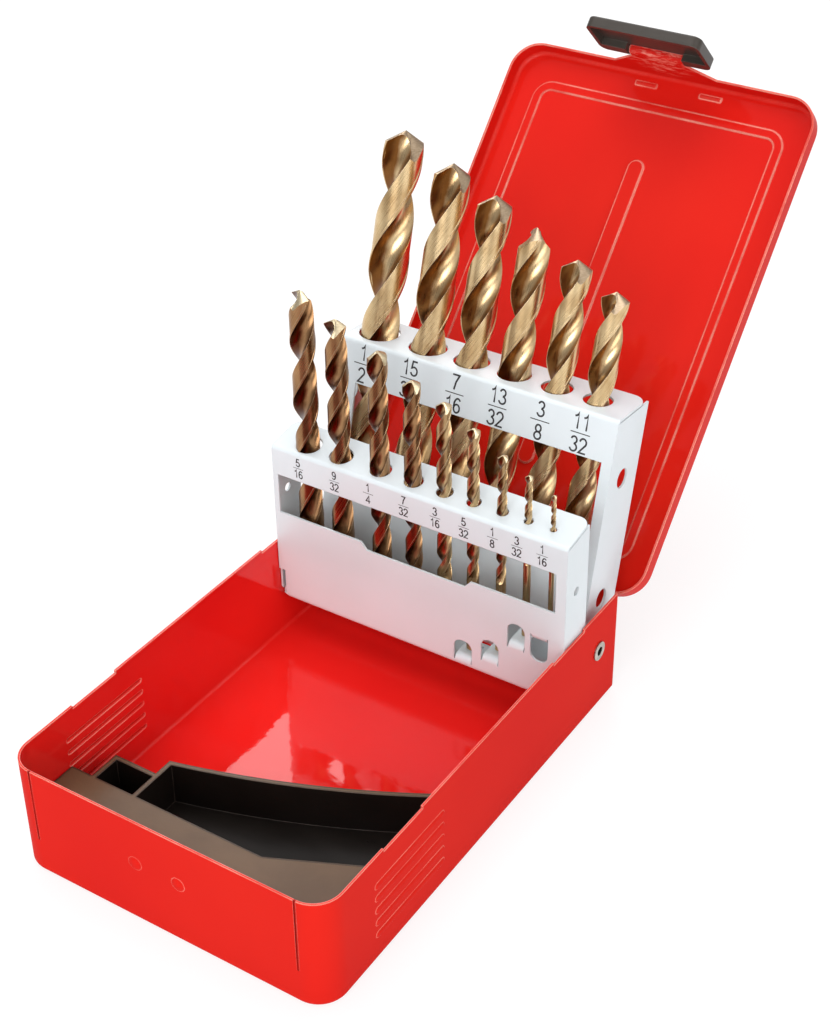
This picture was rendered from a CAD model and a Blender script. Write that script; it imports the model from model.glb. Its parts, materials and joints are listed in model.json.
import json
from math import atan2, cos, pi, radians, sin, tan

import bpy
from mathutils import Matrix, Vector


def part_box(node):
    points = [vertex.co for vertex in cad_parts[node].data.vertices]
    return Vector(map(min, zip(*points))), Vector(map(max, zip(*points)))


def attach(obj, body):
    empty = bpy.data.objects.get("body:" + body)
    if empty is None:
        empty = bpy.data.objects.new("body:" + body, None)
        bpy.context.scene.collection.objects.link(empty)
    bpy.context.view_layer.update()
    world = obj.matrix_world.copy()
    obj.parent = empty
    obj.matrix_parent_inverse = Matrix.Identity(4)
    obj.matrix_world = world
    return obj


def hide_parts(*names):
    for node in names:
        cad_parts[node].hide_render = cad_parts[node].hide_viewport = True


# Looks for the folding drill bit case. Lengths are in metres, angles in degrees. The packed
# part gives the places: X runs along the front wall, Y from the front wall to the hinge, Z up.

MM = 0.001
INCH = 0.0254

# Camera: its place, the turns that aim it, its focal length and image in pixels, the pixel that
# the lens's axis meets, and the width of its sensor in millimetres
CAMERA_PLACE = (0.25674, -0.34293, 0.38716)
CAMERA_AZIMUTH = 32.913
CAMERA_ELEVATION = 33.386
CAMERA_ROLL = -0.494
FOCAL_PIXELS = 1858.9
IMAGE_SIZE = (831, 1024)
IMAGE_CENTRE = (425.58, 480.39)
SENSOR = 36.0

# Drills: node, diameter, length and flute length in inches, turn of the flutes about the axis.
# The seven larger front ones have flutes 3/16 to 1/4 inch longer than the standard.
REAR_BITS = (
    ("bit_1_2", 1 / 2, 6, 4 + 1 / 2, 42),
    ("bit_15_32", 15 / 32, 5 + 3 / 4, 4 + 5 / 16, 50),
    ("bit_7_16", 7 / 16, 5 + 1 / 2, 4 + 1 / 16, 40),
    ("bit_13_32", 13 / 32, 5 + 1 / 4, 3 + 7 / 8, 119),
    ("bit_3_8", 3 / 8, 5, 3 + 5 / 8, 22),
    ("bit_11_32", 11 / 32, 4 + 3 / 4, 3 + 7 / 16, 2),
)
FRONT_BITS = (
    ("bit_5_16", 5 / 16, 4 + 1 / 2, 3 + 3 / 8, 148),
    ("bit_9_32", 9 / 32, 4 + 1 / 4, 3 + 1 / 8, -2),
    ("bit_1_4", 1 / 4, 4, 3, 62),
    ("bit_7_32", 7 / 32, 3 + 3 / 4, 2 + 3 / 4, 40),
    ("bit_3_16", 3 / 16, 3 + 19 / 32, 2 + 1 / 2, 25),
    ("bit_5_32", 5 / 32, 3 + 7 / 32, 2 + 3 / 16, 25),
    ("bit_1_8", 1 / 8, 2 + 27 / 32, 1 + 13 / 16, 45),
    ("bit_3_32", 3 / 32, 2 + 5 / 16, 1 + 1 / 4, 25),
    ("bit_1_16", 1 / 16, 1 + 31 / 32, 7 / 8, 40),
)
# Angles of every drill: of its flutes, of its point, across a land, across a land's margin, of
# the step up to that margin, and from a cutting lip round to the heel of its flank
HELIX_ANGLE = 30
POINT_ANGLE = 122
LAND_ANGLE = 76
MARGIN_ANGLE = 11
MARGIN_STEP = 1.2
HEEL_TURN = 97
# Slope that a flank gains behind its lip, for each cubed radian of turn, and the rounds in which
# its heights settle
FLANK_RELIEF = 0.19
FLANK_ROUNDS = 30
# Shares of a drill's radius: the relieved land, half the web, the shank, the chamfer at its foot
LAND_SHARE = 0.955
WEB_SHARE = 0.22
SHANK_SHARE = 0.995
CHAMFER_SHARE = 0.12
# The smaller and smaller sections that close the point, as shares of the whole one
TIP_SHARES = (0.82, 0.64, 0.46, 0.3, 0.16)
# Run-out of the flutes: its length in diameters, the most of the flutes that it takes, its rows,
# and the power of the way along it by which they deepen
RUN_OUT_DIAMETERS = 1.6
RUN_OUT_LIMIT = 0.25
RUN_OUT_ROWS = 12
RUN_OUT_POWER = 0.6
# Height of a row of faces on the flutes, as a share of the radius, and the least height
ROW_SHARE = 0.16
ROW_LEAST = 0.25 * MM
# Edges that turn by more than this stay sharp
SHARP_ANGLE = 28
# A drill's "across" attribute runs from 0 to 1 over each flute, and is this everywhere else
ON_LAND = 1.0

# Printed sizes: rack body, tilt of its face, place of the face and top fold from the pivot,
# height of a digit, depth of the bar below the fold, and the labels with their places along X in
# millimetres
LABELS = (
    ("rear_rack", 14.0, 4.45 * MM, 76.3 * MM, 5.1 * MM, 7.3 * MM, (
        ("1", "2", -40.9), ("15", "32", -23.2), ("7", "16", -6.4),
        ("13", "32", 9.1), ("3", "8", 24.2), ("11", "32", 38.2),
    )),
    ("front_rack", -0.3, 21.1 * MM, 51.3 * MM, 2.9 * MM, 5.3 * MM, (
        ("5", "16", -43.2), ("9", "32", -29.4), ("1", "4", -16.7), ("7", "32", -3.7), ("3", "16", 7.7),
        ("5", "32", 17.9), ("1", "8", 27.9), ("3", "32", 36.3), ("1", "16", 44.9),
    )),
)
PRINT_LIFT = 0.03 * MM
# Distance of a digit's middle from the bar, and the bar's width and height, in digit heights
DIGIT_GAP = 0.73
BAR_WIDTH = 1.3
BAR_HEIGHT = 0.06

# Digits, in digit heights: width with the space beside it, and middle
DIGIT_WIDTH = 0.6
DIGIT_MIDDLE = 0.28
# Width of a stroke: a share of the digit's height, and what every stroke has besides
STROKE_SHARE = 0.08
STROKE_LEAST = 0.18 * MM
ARC_STEPS = 18

# Outer corner radius of the tray, seen from above
TRAY_CORNER = 9.0 * MM
# How far the tray's inside lies within its box, which reaches out to the grips and the dents,
# and how far past the rim it is taken
INSIDE_SIDE = 0.85 * MM
INSIDE_FRONT = 1.04 * MM
INSIDE_BACK = 0.35 * MM
INSIDE_BOTTOM = 0.35 * MM
RIM_MARGIN = 1.0 * MM
# Seams of the folded front corners: distance from the middle, least distance forward, half width
SEAM_SIDE = 45.3 * MM
SEAM_FRONT = 79.0 * MM
SEAM_REACH = 0.4 * MM
# How far the scuffs reach from the middle of the latch pin
SCUFF_REACH = 15.0 * MM

# Greys of the room low down and overhead, and how far up it is at its lightest
ROOM_LOW = (0.20, 0.20, 0.21, 1.0)
ROOM_HIGH = (0.62, 0.62, 0.63, 1.0)
ROOM_RISE = 0.8
# Half the floor's side, how far it lies below the tray, its greys as it lights the object and as
# it is seen, and its glow where it is seen
FLOOR_HALF = 60.0
FLOOR_DROP = 0.05 * MM
FLOOR_LIT = (0.8, 0.8, 0.8, 1.0)
FLOOR_SEEN = (0.25, 0.25, 0.25, 1.0)
FLOOR_GLOW = 0.78
# Lamps, all aimed at one place: name, place, size, and power in watts
SUBJECT = (0, 0.05, 0.06)
LAMPS = (
    ("top", (-0.25, 0.15, 1.35), (1.2, 1.0), 8.5),
    ("front", (0.35, -1.85, 0.95), (1.4, 1.0), 21.5),
    ("right", (1.5, -0.5, 0.7), (1.0, 1.0), 8.0),
    ("back_left", (-0.95, 1.5, 1.15), (0.9, 0.8), 9.0),
)

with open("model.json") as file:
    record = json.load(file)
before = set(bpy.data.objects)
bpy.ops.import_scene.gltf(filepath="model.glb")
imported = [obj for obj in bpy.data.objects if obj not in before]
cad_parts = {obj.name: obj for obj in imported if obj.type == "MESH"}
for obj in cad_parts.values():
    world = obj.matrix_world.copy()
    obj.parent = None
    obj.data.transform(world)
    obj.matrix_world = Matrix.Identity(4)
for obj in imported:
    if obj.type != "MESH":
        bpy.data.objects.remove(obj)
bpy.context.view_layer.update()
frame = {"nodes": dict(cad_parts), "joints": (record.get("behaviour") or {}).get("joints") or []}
scene = bpy.context.scene


# ---------------------------------------------------------------- node trees

# Sockets of the Mix node that hold colours, and the vector operations that give a number
MIX_COLOURS = (6, 7)
MIX_RESULT = 2
NUMBER_RESULTS = ("LENGTH", "DISTANCE", "DOT_PRODUCT")
BEVEL_SAMPLES = 6
# A length too small to matter, which takes up rounding
HAIR = 0.0001 * MM


class Look:
    """A material's node tree with short calls for the nodes used here."""

    def __init__(self, name):
        self.material = bpy.data.materials.new(name)
        self.material.use_nodes = True
        self.tree = self.material.node_tree
        self.surface = self.tree.nodes["Principled BSDF"]

    def node(self, kind, **inputs):
        """A new node with its sockets fed. An underscore stands for a space in their names."""
        made = self.tree.nodes.new(kind)
        for key, value in inputs.items():
            self.feed(made, key.replace("_", " "), value)
        return made

    def feed(self, target, socket, value):
        """Sets a socket to a value, or links it to another node's output."""
        port = target.inputs[socket]
        if isinstance(value, bpy.types.NodeSocket):
            self.tree.links.new(value, port)
        else:
            port.default_value = value

    def place(self, kind="Object"):
        return self.node("ShaderNodeTexCoord").outputs[kind]

    def stretched(self, vector, scale):
        return self.node("ShaderNodeMapping", Vector=vector, Scale=scale).outputs["Vector"]

    def noise(self, vector, scale, detail=3.0, roughness=0.5):
        made = self.node("ShaderNodeTexNoise", Vector=vector, Scale=scale, Detail=detail,
                         Roughness=roughness)
        return made.outputs["Fac"]

    def ramp(self, factor, stops):
        """Colours at stops along a factor, given as (position, colour)."""
        made = self.node("ShaderNodeValToRGB", Fac=factor)
        ends = made.color_ramp.elements
        ends[0].position, ends[0].color = stops[0]
        ends[1].position, ends[1].color = stops[-1]
        for position, colour in stops[1:-1]:
            ends.new(position).color = colour
        return made.outputs["Color"]

    def tones(self, factor, pair, low=0.3, high=0.7):
        """Blend of a darker and a lighter tone."""
        return self.ramp(factor, ((low, pair[0]), (high, pair[1])))

    def span(self, factor, low, high, from_low=0.3, from_high=0.7):
        """A value from low to high as a factor goes from one value to another."""
        made = self.node("ShaderNodeMapRange", Value=factor, From_Min=from_low, From_Max=from_high)
        made.inputs["To Min"].default_value = low
        made.inputs["To Max"].default_value = high
        return made.outputs["Result"]

    def mix(self, factor, first, second, blend="MIX"):
        """Mix of two colours. Their sockets go by number, because other kinds share the names."""
        made = self.tree.nodes.new("ShaderNodeMix")
        made.data_type = "RGBA"
        made.blend_type = blend
        self.feed(made, "Factor", factor)
        self.feed(made, MIX_COLOURS[0], first)
        self.feed(made, MIX_COLOURS[1], second)
        return made.outputs[MIX_RESULT]

    def math(self, operation, *values):
        made = self.tree.nodes.new("ShaderNodeMath")
        made.operation = operation
        for index, value in enumerate(values):
            self.feed(made, index, value)
        return made.outputs["Value"]

    def vector(self, operation, *values):
        made = self.tree.nodes.new("ShaderNodeVectorMath")
        made.operation = operation
        for index, value in enumerate(values):
            self.feed(made, index, value)
        return made.outputs["Value" if operation in NUMBER_RESULTS else "Vector"]

    def axes(self, vector):
        return self.node("ShaderNodeSeparateXYZ", Vector=vector).outputs

    def bump(self, height, distance, strength, normal):
        made = self.node("ShaderNodeBump", Height=height, Distance=distance, Strength=strength,
                         Normal=normal)
        return made.outputs["Normal"]

    def attribute(self, name):
        made = self.tree.nodes.new("ShaderNodeAttribute")
        made.attribute_name = name
        return made.outputs["Fac"]

    def within(self, low, high, corner):
        """1 inside a rounded rectangle seen from above, between two heights, and 0 outside."""
        core = (high - low) / 2 - Vector((corner, corner, 0))
        past = self.vector("ABSOLUTE", self.vector("SUBTRACT", self.place(), (low + high) / 2))
        past = self.vector("MAXIMUM", self.vector("SUBTRACT", past, core), (0, 0, 0))
        flat = self.vector("MULTIPLY", past, (1, 1, 0))
        beside = self.math("LESS_THAN", self.vector("LENGTH", flat), corner)
        level = self.math("LESS_THAN", self.axes(past)["Z"], HAIR)
        return self.math("MULTIPLY", beside, level)

    def near(self, point, reach):
        """1 near a point, falling to 0 between half a distance from it and all of it."""
        away = self.vector("DISTANCE", self.place(), point)
        return self.span(away, 1.0, 0.0, 0.5 * reach, reach)

    def rounded(self, radius):
        """Normal as if every edge had a small round."""
        made = self.node("ShaderNodeBevel", Radius=radius)
        made.samples = BEVEL_SAMPLES
        return made.outputs["Normal"]

    def edge_share(self, radius, flat=0.99, sharp=0.85):
        """1 on the edges of a piece and 0 on its faces."""
        normal = self.node("ShaderNodeNewGeometry").outputs["Normal"]
        return self.span(self.vector("DOT_PRODUCT", self.rounded(radius), normal), 1.0, 0.0, sharp, flat)

    def finish(self, **inputs):
        """The material, with the sockets of its surface fed."""
        for key, value in inputs.items():
            self.feed(self.surface, key.replace("_", " "), value)
        return self.material


def rgb(red, green, blue):
    """Linear colour from 0-255 screen values."""
    values = [channel / 255 for channel in (red, green, blue)]
    return tuple(v / 12.92 if v <= 0.04045 else ((v + 0.055) / 1.055) ** 2.4 for v in values) + (1.0,)


# ---------------------------------------------------------------- materials

WHITE = (1.0, 1.0, 1.0, 1.0)
# A pair is the darker and the lighter tone of a finish. A drill's four tones are the tint of its
# flutes on one side, its darker and its lighter clouds, and its edges.
ENAMEL = (rgb(213, 29, 22), rgb(220, 36, 24))
ENAMEL_INSIDE = (rgb(233, 30, 28), rgb(240, 38, 32))
ENAMEL_THIN = rgb(255, 176, 156)
ENAMEL_SEAM = rgb(96, 16, 14)
RACK_GREY = (rgb(219, 228, 231), rgb(226, 234, 238))
RACK_WORN = rgb(170, 172, 178)
INSERT_BLACK = (rgb(20, 15, 12), rgb(30, 24, 20))
LATCH_BLACK = (rgb(52, 47, 42), rgb(78, 72, 66))
PLASTIC_RUBBED = rgb(118, 106, 96)
DUST = rgb(112, 88, 64)
NICKEL = (rgb(150, 144, 134), rgb(205, 200, 190))
INK = (rgb(26, 26, 28), rgb(56, 56, 60))
REAR_TONES = (rgb(142, 108, 76), rgb(192, 158, 112), rgb(230, 202, 156), rgb(255, 240, 212))
FRONT_TONES = (rgb(146, 110, 84), rgb(124, 90, 60), rgb(168, 128, 90), rgb(240, 214, 176))
SMALL_TONES = (rgb(150, 118, 88), rgb(158, 128, 90), rgb(200, 170, 126), rgb(250, 232, 196))
GROUND = (rgb(226, 204, 164), rgb(246, 230, 196))
REAR_GROUND = (rgb(186, 160, 130), rgb(214, 190, 160))


def red_enamel(name, edge_round, bright_edge, coat, inside=None, scuffed=None, seams=None):
    """Thick glossy enamel with orange peel, thinner and lighter on the edges.

    inside is the tray's inner space, where coat holds two weights: outside it and within. scuffed
    is a place and how far its scuffs reach, and seams is where the folded corners show dark lines.
    """
    look = Look(name)
    where = look.place()
    cloud = look.noise(where, 14.0, 2.0)
    colour = look.tones(cloud, ENAMEL)
    if inside:
        indoors = look.within(*inside)
        coat = look.span(indoors, *coat, 0.0, 1.0)
        colour = look.mix(indoors, colour, look.tones(cloud, ENAMEL_INSIDE))
    edges = look.edge_share(edge_round, 0.999, 0.93)
    patchy = look.span(look.noise(where, 60.0, 4.0), 0.45 * bright_edge, bright_edge, 0.38, 0.55)
    light = look.math("MULTIPLY", edges, patchy)
    if scuffed:
        scratches = look.noise(look.stretched(where, (0.3, 1.0, 1.0)), 700.0, 5.0, 0.65)
        scuffs = look.span(scratches, 0.0, 0.6, 0.47, 0.66)
        light = look.math("MAXIMUM", light, look.math("MULTIPLY", scuffs, look.near(*scuffed)))
    edge_colour = ENAMEL_THIN
    if seams:
        side, depth = seams
        beside = look.math("COMPARE", look.math("ABSOLUTE", look.axes(where)["X"]), side, SEAM_REACH)
        front = look.math("LESS_THAN", look.axes(where)["Y"], depth)
        edge_colour = look.mix(look.math("MULTIPLY", beside, front), edge_colour, ENAMEL_SEAM)
    colour = look.mix(light, colour, edge_colour)
    fine = look.noise(where, 460.0, 1.0)
    wide = look.noise(where, 190.0, 1.0)
    peel = look.math("ADD", fine, look.math("MULTIPLY", wide, 1.5))
    normal = look.bump(peel, 0.016 * MM, 1.0, look.rounded(edge_round))
    return look.finish(
        Base_Color=colour,
        Roughness=look.span(look.noise(where, 90.0, 4.0), 0.4, 0.5),
        Specular_IOR_Level=0.0,
        Coat_Weight=coat,
        Coat_Roughness=0.05,
        Coat_IOR=1.5,
        Normal=normal,
        Coat_Normal=normal,
    )


def rack_paint():
    """Pale grey powder paint: satin, with a fine grain and thin spots on the edges."""
    look = Look("rack_paint")
    where = look.place()
    cloud = look.noise(where, 35.0, 4.0)
    colour = look.tones(cloud, RACK_GREY)
    edges = look.edge_share(0.3 * MM)
    worn = look.math("MULTIPLY", edges, look.span(look.noise(where, 300.0, 5.0), 0.0, 0.5))
    colour = look.mix(worn, colour, RACK_WORN)
    grain = look.noise(where, 1500.0, 3.0, 0.6)
    return look.finish(
        Base_Color=colour,
        Roughness=look.span(look.noise(where, 120.0, 4.0), 0.32, 0.42),
        IOR=1.5,
        Coat_Weight=0.25,
        Coat_Roughness=0.2,
        Normal=look.bump(grain, 0.012 * MM, 1.0, look.rounded(0.25 * MM)),
    )


def moulded_plastic(name, pair, roughness, grain_scale, dusty_top=None):
    """Black moulded plastic with a matte grain, flow marks, rubbed edges and perhaps a dusty top."""
    look = Look(name)
    where = look.place()
    flow = look.noise(look.stretched(where, (1.0, 3.0, 1.0)), 26.0, 5.0, 0.6)
    colour = look.tones(flow, pair, 0.3, 0.75)
    edges = look.edge_share(0.4 * MM)
    rubbed = look.math("MULTIPLY", edges, look.span(look.noise(where, 180.0, 4.0), 0.1, 0.6))
    colour = look.mix(rubbed, colour, PLASTIC_RUBBED)
    if dusty_top:
        dust = look.span(look.axes(where)["Z"], 0.0, 1.0, dusty_top - 0.3 * MM, dusty_top)
        dust = look.math("MULTIPLY", dust, look.span(look.noise(where, 45.0, 5.0, 0.6), 0.7, 1.0))
        dust = look.math("MULTIPLY", dust, look.span(look.edge_share(1.3 * MM), 1.0, 0.15, 0.0, 0.3))
        colour = look.mix(dust, colour, DUST)
    return look.finish(
        Base_Color=colour,
        Roughness=look.span(flow, roughness - 0.06, roughness + 0.08),
        Specular_IOR_Level=0.32,
        Normal=look.bump(look.noise(where, grain_scale, 3.0), 0.02 * MM, 0.8, look.rounded(0.35 * MM)),
    )


def plated_steel():
    """Nickel-plated small parts with light turning marks and dull spots."""
    look = Look("plated_steel")
    where = look.place()
    spots = look.noise(where, 400.0, 5.0)
    colour = look.tones(spots, NICKEL, 0.35, 0.65)
    lines = look.noise(look.stretched(where, (8.0, 1.0, 1.0)), 900.0, 2.0)
    return look.finish(
        Base_Color=colour,
        Metallic=1.0,
        Roughness=look.span(spots, 0.22, 0.42),
        Normal=look.bump(lines, 0.01 * MM, 0.6, look.rounded(0.15 * MM)),
    )


def bit_metal(name, flute_tint, dark, light, edge):
    """Gold-oxide drill steel: streaks run along the flutes, which are darker on one side."""
    look = Look(name)
    where = look.place()
    streak = look.noise(look.stretched(look.place("UV"), (2600.0, 60.0, 1.0)), 1.0, 3.0, 0.5)
    cloud = look.noise(where, 130.0, 3.0)
    uneven = look.math("ADD", look.math("MULTIPLY", streak, 0.3), look.math("MULTIPLY", cloud, 0.7))
    colour = look.tones(uneven, (dark, light), 0.32, 0.62)
    ragged = look.math("MULTIPLY", look.math("SUBTRACT", cloud, 0.5), 0.35)
    across = look.math("ADD", look.attribute("across"), ragged)
    tint = look.ramp(across, (
        (0.0, WHITE), (0.03, flute_tint), (0.38, flute_tint), (0.62, WHITE), (1.0, WHITE),
    ))
    colour = look.mix(1.0, colour, tint, "MULTIPLY")
    edges = look.edge_share(0.2 * MM)
    colour = look.mix(look.math("MULTIPLY", edges, 0.5), colour, edge)
    return look.finish(
        Base_Color=colour,
        Metallic=1.0,
        Roughness=look.span(streak, 0.25, 0.34),
        Normal=look.bump(streak, 0.0015 * MM, 0.5, look.rounded(0.1 * MM)),
    )


def ground_metal(name, pair):
    """Bare ground flanks of a drill point, with fine parallel grinding lines."""
    look = Look(name)
    where = look.place()
    lines = look.noise(look.stretched(where, (1.0, 1.0, 9.0)), 900.0, 2.0)
    return look.finish(
        Base_Color=look.tones(lines, pair),
        Metallic=1.0,
        Roughness=look.span(lines, 0.3, 0.42),
        Normal=look.bump(lines, 0.004 * MM, 0.8, look.rounded(0.06 * MM)),
    )


def print_ink():
    """Dark printing ink, slightly uneven where the paint grain shows through."""
    look = Look("print_ink")
    where = look.place()
    thin = look.noise(where, 2500.0, 3.0)
    return look.finish(
        Base_Color=look.tones(thin, INK, 0.3, 0.75),
        Roughness=look.span(thin, 0.45, 0.6),
    )


# ---------------------------------------------------------------- drills


def bit_section(radius, steps=10):
    """Points of the fluted section as (angle, distance, share of the way across the flute)."""
    half_land = radians(LAND_ANGLE / 2)
    margin = radians(MARGIN_ANGLE)
    web = WEB_SHARE * radius
    lip_x, lip_y = radius * cos(half_land), radius * sin(half_land)
    arc_centre = (radius ** 2 - web ** 2) / (2 * (lip_y - web))
    arc_radius = arc_centre - web
    arc_half = atan2(lip_x, arc_centre - lip_y)
    edge = half_land - margin
    points = []
    for side in (0, pi):
        for i in range(steps + 1):
            turn = -half_land + (2 * half_land - margin) * i / steps
            points.append((side + turn, LAND_SHARE * radius, ON_LAND))
        for turn in (edge + radians(MARGIN_STEP), edge + margin / 2, half_land):
            points.append((side + turn, radius, ON_LAND))
        for i in range(1, 2 * steps):
            turn = arc_half * (1 - i / steps)
            x, y = arc_radius * sin(turn), arc_centre - arc_radius * cos(turn)
            points.append((side + atan2(y, x), (x * x + y * y) ** 0.5, i / (2 * steps)))
    return points


def mesh_object(name, vertices, faces, material, body):
    """A piece of the object that rides on a body and takes its finish from a slot."""
    mesh = bpy.data.meshes.new(name)
    mesh.from_pydata(vertices, [], faces)
    mesh.update()
    mesh.materials.append(material)
    made = bpy.data.objects.new(name, mesh)
    scene.collection.objects.link(made)
    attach(made, body)
    return made


def drill(node, diameter, length, flute_length, phase, axis, metal, ground):
    """A jobber drill with relieved lands, a four-sided point and a run-out into its shank.

    It is made standing at the origin, foot down, and then put where its node is.
    """
    radius = diameter * INCH / 2
    length, flute_length = length * INCH, flute_length * INCH
    low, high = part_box(node)
    lean = atan2(axis[1], axis[2])
    foot = Vector(((low[0] + high[0]) / 2, low[1] + radius * cos(lean), low[2] + radius * sin(lean)))
    turn_rate = tan(radians(HELIX_ANGLE)) / radius
    section = bit_section(radius)
    count = len(section)
    lip = radians(LAND_ANGLE / 2)
    slope_out = tan(radians(90 - POINT_ANGLE / 2))
    shank = length - flute_length
    heel = radians(HEEL_TURN)

    def point_height(angle, distance):
        """Where a line of the twisted section meets a flank, which drops behind its lip."""
        height = length
        for _ in range(FLANK_ROUNDS):
            behind = (lip - angle - turn_rate * (height - length)) % pi
            relief = FLANK_RELIEF * heel ** 3
            relief *= (behind / heel) ** 3 if behind < heel else (pi - behind) / (pi - heel)
            height = (height + length - distance * (slope_out + relief)) / 2
        return height

    vertices, flow, across = [], [], []

    def ring(height, full_share=0.0, distance_share=1.0, below=None):
        """Vertex numbers of a section at a height, held down to the point's flanks."""
        row = []
        for index, (angle, distance, share) in enumerate(section):
            distance = (distance + (radius * SHANK_SHARE - distance) * full_share) * distance_share
            top = tops[index] if distance_share == 1.0 else point_height(angle, distance)
            if below and top <= vertices[below[index]].z:
                row.append(below[index])
                continue
            level = min(height, top)
            turned = angle + radians(phase) + turn_rate * (max(level, shank) - length)
            vertices.append(Vector((distance * cos(turned), distance * sin(turned), level)))
            flow.append((angle * radius, level))
            across.append(share if full_share < 0.5 else ON_LAND)
            row.append(len(vertices) - 1)
        return row

    def skin(lower, upper, faces):
        """Faces between two rings, without the corners that fall together."""
        for i in range(count):
            j = (i + 1) % count
            corners = list(dict.fromkeys((lower[i], lower[j], upper[j], upper[i])))
            if len(corners) > 2:
                faces.append(corners)

    tops = [point_height(angle, distance) for angle, distance, _ in section]
    run_out = min(RUN_OUT_DIAMETERS * 2 * radius, RUN_OUT_LIMIT * flute_length)
    rows = [ring(0.0, 1.0), ring(CHAMFER_SHARE * radius, 1.0), ring(shank, 1.0)]
    for number in rows[0]:
        vertices[number].xy *= 1 - CHAMFER_SHARE
    for i in range(1, RUN_OUT_ROWS + 1):
        part = i / RUN_OUT_ROWS
        rows.append(ring(shank + run_out * part, 1 - part ** RUN_OUT_POWER))
    start = shank + run_out
    steps = int((length - start) / max(radius * ROW_SHARE, ROW_LEAST)) + 1
    for i in range(1, steps + 1):
        rows.append(ring(start + (length - start) * i / steps, below=rows[-1]))
    faces, point_faces = [], []
    for lower, upper in zip(rows, rows[1:]):
        skin(lower, upper, faces)
    caps = [rows[-1]] + [ring(length, distance_share=share) for share in TIP_SHARES]
    for lower, upper in zip(caps, caps[1:]):
        skin(lower, upper, point_faces)
    for row, height, out in ((caps[-1], length, point_faces), (rows[0][::-1], 0.0, faces)):
        vertices.append(Vector((0, 0, height)))
        flow.append((0.0, height))
        across.append(ON_LAND)
        for i in range(count):
            out.append((row[i], row[(i + 1) % count], len(vertices) - 1))

    stand = Matrix.Translation(foot) @ Matrix.Rotation(-lean, 4, "X")
    places = [stand @ vertex for vertex in vertices]
    made = mesh_object("drill" + node[3:], places, faces + point_faces, metal, node)
    mesh = made.data
    mesh.materials.append(ground)
    mesh.polygons.foreach_set("material_index", [0] * len(faces) + [1] * len(point_faces))
    layer = mesh.uv_layers.new(name="flow")
    for loop in mesh.loops:
        layer.data[loop.index].uv = flow[loop.vertex_index]
    mesh.attributes.new("across", "FLOAT", "POINT").data.foreach_set("value", across)
    mesh.polygons.foreach_set("use_smooth", [True] * len(mesh.polygons))
    mesh.set_sharp_from_angle(angle=radians(SHARP_ANGLE))
    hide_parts(node)


# ---------------------------------------------------------------- printed sizes


def arc(centre, across, up, start, end):
    """Points of an elliptic arc, in digit heights and degrees."""
    turns = [radians(start + (end - start) * i / ARC_STEPS) for i in range(ARC_STEPS + 1)]
    return [(centre[0] + across * cos(turn), centre[1] + up * sin(turn)) for turn in turns]


def half_turned(strokes):
    """Strokes of a digit turned upside down about its middle."""
    return [[(2 * DIGIT_MIDDLE - x, 1 - y) for x, y in stroke] for stroke in strokes]


SIX = [
    arc((0.28, 0.31), 0.205, 0.265, 0, 360),
    arc((0.31, 0.50), 0.24, 0.455, 45, 195),
]
DIGITS = {
    "1": [[(0.10, 0.76), (0.23, 0.81), (0.31, 0.89), (0.34, 1.0), (0.34, 0.0)]],
    "2": [arc((0.28, 0.71), 0.21, 0.245, 175, -38) + [(0.06, 0.045), (0.52, 0.045)]],
    "3": [arc((0.27, 0.74), 0.185, 0.215, 168, -85), arc((0.27, 0.275), 0.225, 0.235, 88, -168)],
    "4": [[(0.40, 0.0), (0.40, 0.95), (0.04, 0.26), (0.56, 0.26)]],
    "5": [[(0.47, 0.955), (0.15, 0.955), (0.09, 0.52)] + arc((0.27, 0.32), 0.225, 0.275, 128, -163)],
    "6": SIX,
    "7": [[(0.04, 0.955), (0.52, 0.955), (0.32, 0.52), (0.22, 0.0)]],
    "8": [arc((0.28, 0.735), 0.18, 0.22, 0, 360), arc((0.28, 0.275), 0.22, 0.235, 0, 360)],
    "9": half_turned(SIX),
}


def ribbon(points, width):
    """Left and right edges of a stroke of even width along its points."""
    edges = []
    last = len(points) - 1
    for i, point in enumerate(points):
        before, after = Vector(points[max(i - 1, 0)]), Vector(points[min(i + 1, last)])
        into, out = Vector(point) - before, after - Vector(point)
        into = into.normalized() if i else out.normalized()
        out = out.normalized() if i < last else into
        side = Vector((-(into.y + out.y), into.x + out.x)).normalized()
        reach = width / 2 / max(side.dot(Vector((-into.y, into.x))), 0.5)
        edges.append((Vector(point) + side * reach, Vector(point) - side * reach))
    return edges


def number_piece(name, text, size, place, material, body):
    """A printed number, centred on its place."""
    vertices, faces = [], []
    start = -len(text) * DIGIT_WIDTH / 2
    for index, digit in enumerate(text):
        shift = Vector((start + index * DIGIT_WIDTH, -0.5))
        for stroke in DIGITS[digit]:
            first = len(vertices)
            edges = ribbon(stroke, STROKE_SHARE + STROKE_LEAST / size)
            for pair in edges:
                vertices += [place @ ((corner + shift) * size).to_3d() for corner in pair]
            for i in range(len(edges) - 1):
                low = first + 2 * i
                faces.append((low + 1, low + 3, low + 2, low))
    mesh_object(name, vertices, faces, material, body)


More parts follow.
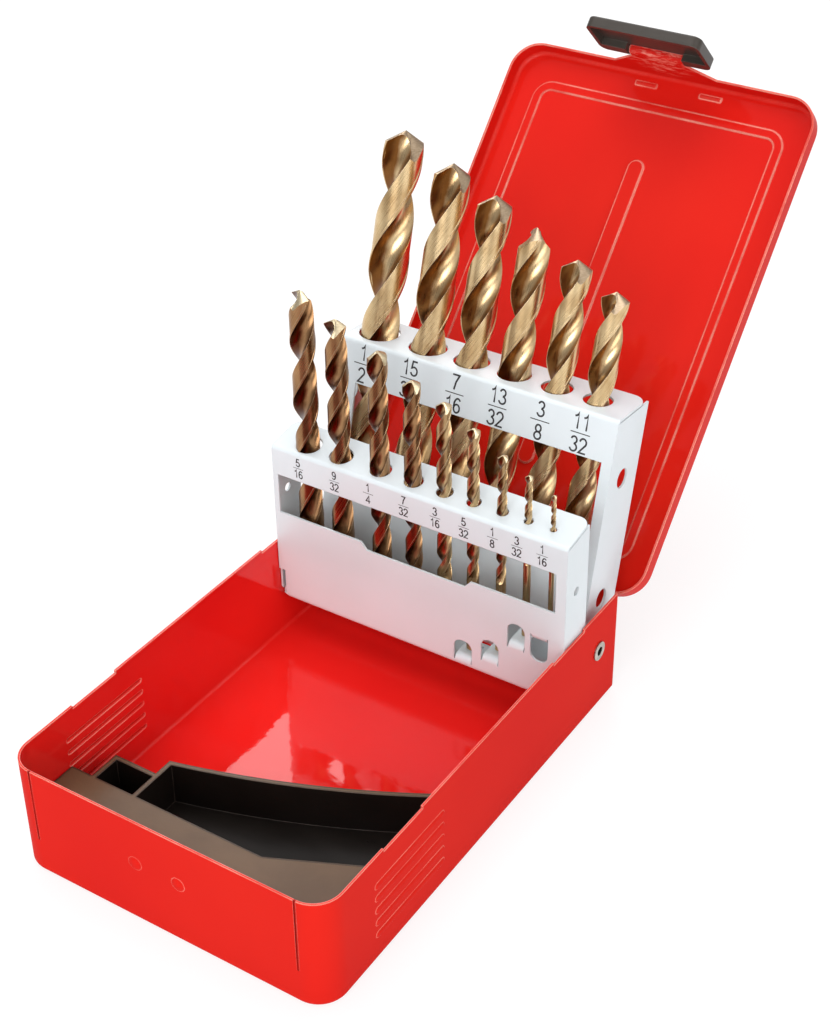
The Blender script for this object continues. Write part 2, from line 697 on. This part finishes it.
def print_sizes(material):
    """The fraction under each hole: a number, a bar and a number."""
    pivot = next(joint["pos_m"] for joint in frame["joints"] if joint["name"] == "rear_rack_pivot")
    upright = Matrix.Rotation(radians(90), 4, "X")
    for body, tilt, setback, rise, digit, bar_drop, labels in LABELS:
        face = Matrix.Translation(pivot) @ Matrix.Rotation(radians(-tilt), 4, "X")
        for top, bottom, x in labels:
            tag = f"print_{body}_{top}_{bottom}"
            middle = face @ Matrix.Translation((x * MM, -setback - PRINT_LIFT, rise - bar_drop))
            for end, number, lift in (("top", top, DIGIT_GAP), ("low", bottom, -DIGIT_GAP)):
                place = middle @ Matrix.Translation((0, 0, digit * lift)) @ upright
                number_piece(f"{tag}_{end}", number, digit, place, material, body)
            side, edge = digit * BAR_WIDTH / 2, digit * BAR_HEIGHT / 2
            corners = [(-side, -edge), (side, -edge), (side, edge), (-side, edge)]
            vertices = [middle @ upright @ Vector(corner).to_3d() for corner in corners]
            mesh_object(f"{tag}_bar", vertices, [(0, 1, 2, 3)], material, body)


# ---------------------------------------------------------------- stage


def room():
    """Grey surroundings, lighter overhead."""
    world = bpy.data.worlds.new("studio")
    scene.world = world
    world.use_nodes = True
    tree = world.node_tree
    where = tree.nodes.new("ShaderNodeTexCoord")
    parts = tree.nodes.new("ShaderNodeSeparateXYZ")
    tree.links.new(where.outputs["Generated"], parts.inputs["Vector"])
    ramp = tree.nodes.new("ShaderNodeValToRGB")
    tree.links.new(parts.outputs["Z"], ramp.inputs["Fac"])
    low, high = ramp.color_ramp.elements
    low.position, low.color = 0.0, ROOM_LOW
    high.position, high.color = ROOM_RISE, ROOM_HIGH
    tree.links.new(ramp.outputs["Color"], tree.nodes["Background"].inputs["Color"])


def pale_floor():
    """Floor that looks white to the camera and in reflections, and lights the object as pale grey."""
    half = FLOOR_HALF
    corners = [(-half, -half, 0), (half, -half, 0), (half, half, 0), (-half, half, 0)]
    mesh = bpy.data.meshes.new("floor")
    mesh.from_pydata(corners, [], [(0, 1, 2, 3)])
    floor = bpy.data.objects.new("floor", mesh)
    floor.location.z = -FLOOR_DROP
    scene.collection.objects.link(floor)
    look = Look("floor")
    light_path = look.node("ShaderNodeLightPath").outputs
    seen = look.math("MAXIMUM", light_path["Is Camera Ray"], light_path["Is Glossy Ray"])
    seen = look.math("MAXIMUM", seen, light_path["Is Transmission Ray"])
    mesh.materials.append(look.finish(
        Base_Color=look.mix(seen, FLOOR_LIT, FLOOR_SEEN),
        Roughness=0.9,
        Specular_IOR_Level=0.0,
        Emission_Color=WHITE,
        Emission_Strength=look.math("MULTIPLY", seen, FLOOR_GLOW),
    ))


def soft_light(name, place, size, power):
    """A rectangular lamp that is aimed at the object."""
    data = bpy.data.lights.new(name, "AREA")
    data.shape = "RECTANGLE"
    data.size, data.size_y = size
    data.energy = power
    made = bpy.data.objects.new(name, data)
    scene.collection.objects.link(made)
    made.location = place
    made.rotation_euler = (Vector(SUBJECT) - Vector(place)).to_track_quat("-Z", "Y").to_euler()


def camera():
    """The photograph's view. Its frame's middle is off the lens's axis, so the lens is shifted."""
    azimuth, elevation, roll = map(radians, (CAMERA_AZIMUTH, CAMERA_ELEVATION, CAMERA_ROLL))
    back = Vector((sin(azimuth) * cos(elevation), -cos(azimuth) * cos(elevation), sin(elevation)))
    right = Vector((cos(azimuth), sin(azimuth), 0))
    up = back.cross(right)
    turned_right = right * cos(roll) + up * sin(roll)
    turned_up = -right * sin(roll) + up * cos(roll)
    data = bpy.data.cameras.new("camera")
    long_side = max(IMAGE_SIZE)
    data.sensor_width = SENSOR
    data.lens = FOCAL_PIXELS * SENSOR / long_side
    data.shift_x = (IMAGE_SIZE[0] / 2 - IMAGE_CENTRE[0]) / long_side
    data.shift_y = (IMAGE_CENTRE[1] - IMAGE_SIZE[1] / 2) / long_side
    made = bpy.data.objects.new("camera", data)
    scene.collection.objects.link(made)
    turn = Matrix((turned_right, turned_up, back)).transposed().to_4x4()
    made.matrix_world = Matrix.Translation(CAMERA_PLACE) @ turn
    scene.camera = made


# ---------------------------------------------------------------- assembly

tray_low, tray_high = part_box("base_tray")
tray_inside = (
    tray_low + Vector((INSIDE_SIDE, INSIDE_FRONT, INSIDE_BOTTOM)),
    tray_high + Vector((-INSIDE_SIDE, -INSIDE_BACK, RIM_MARGIN)),
    TRAY_CORNER - INSIDE_BACK,
)
latch_low, latch_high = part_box("latch_pin")
latch_middle = (latch_low + latch_high) / 2
insert_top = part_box("insert_tray")[1].z

tray_enamel = red_enamel(
    "tray_enamel", edge_round=0.5 * MM, bright_edge=0.85, coat=(0.11, 0.85),
    inside=tray_inside, seams=(SEAM_SIDE, -SEAM_FRONT),
)
hinge_enamel = red_enamel("hinge_enamel", edge_round=0.3 * MM, bright_edge=0.5, coat=0.3)
lid_enamel = red_enamel(
    "lid_enamel", edge_round=0.75 * MM, bright_edge=0.9, coat=0.28,
    scuffed=(latch_middle, SCUFF_REACH),
)
insert_plastic = moulded_plastic(
    "insert_plastic", INSERT_BLACK, roughness=0.32, grain_scale=900.0, dusty_top=insert_top,
)
latch_plastic = moulded_plastic("latch_plastic", LATCH_BLACK, roughness=0.34, grain_scale=1400.0)
paint = rack_paint()
steel = plated_steel()
rear_metal = bit_metal("bit_gold", *REAR_TONES)
front_metal = bit_metal("bit_copper", *FRONT_TONES)
small_metal = bit_metal("bit_pale", *SMALL_TONES)
ground = ground_metal("ground_flank", GROUND)
rear_ground = ground_metal("rear_ground_flank", REAR_GROUND)

FINISHES = {
    "base_tray": tray_enamel,
    "lid_shell": lid_enamel,
    "hinge_base_leaf": hinge_enamel,
    "hinge_lid_leaf": hinge_enamel,
    "front_rack": paint,
    "rear_rack": paint,
    "insert_tray": insert_plastic,
    "latch_plate": latch_plastic,
    "hinge_pin": steel,
    "latch_pin": steel,
    "eyelet_right": steel,
    "eyelet_left": steel,
    "pivot_washer_right": steel,
    "pivot_washer_left": steel,
}
for node, material in FINISHES.items():
    piece = frame["nodes"][node]
    piece.data.materials.clear()
    piece.data.materials.append(material)

# Drills are darkest in the middle sizes
axes = {joint["child"]: joint["axis"] for joint in frame["joints"]}
for bits, metal, point in (
    (REAR_BITS, rear_metal, rear_ground),
    (FRONT_BITS[:4], front_metal, ground),
    (FRONT_BITS[4:], small_metal, ground),
):
    for name, diameter, length, flute_length, phase in bits:
        drill(name, diameter, length, flute_length, phase, axes[name], metal, point)
print_sizes(print_ink())

room()
pale_floor()
for lamp in LAMPS:
    soft_light(*lamp)
camera()
scene.view_settings.view_transform = "Standard"
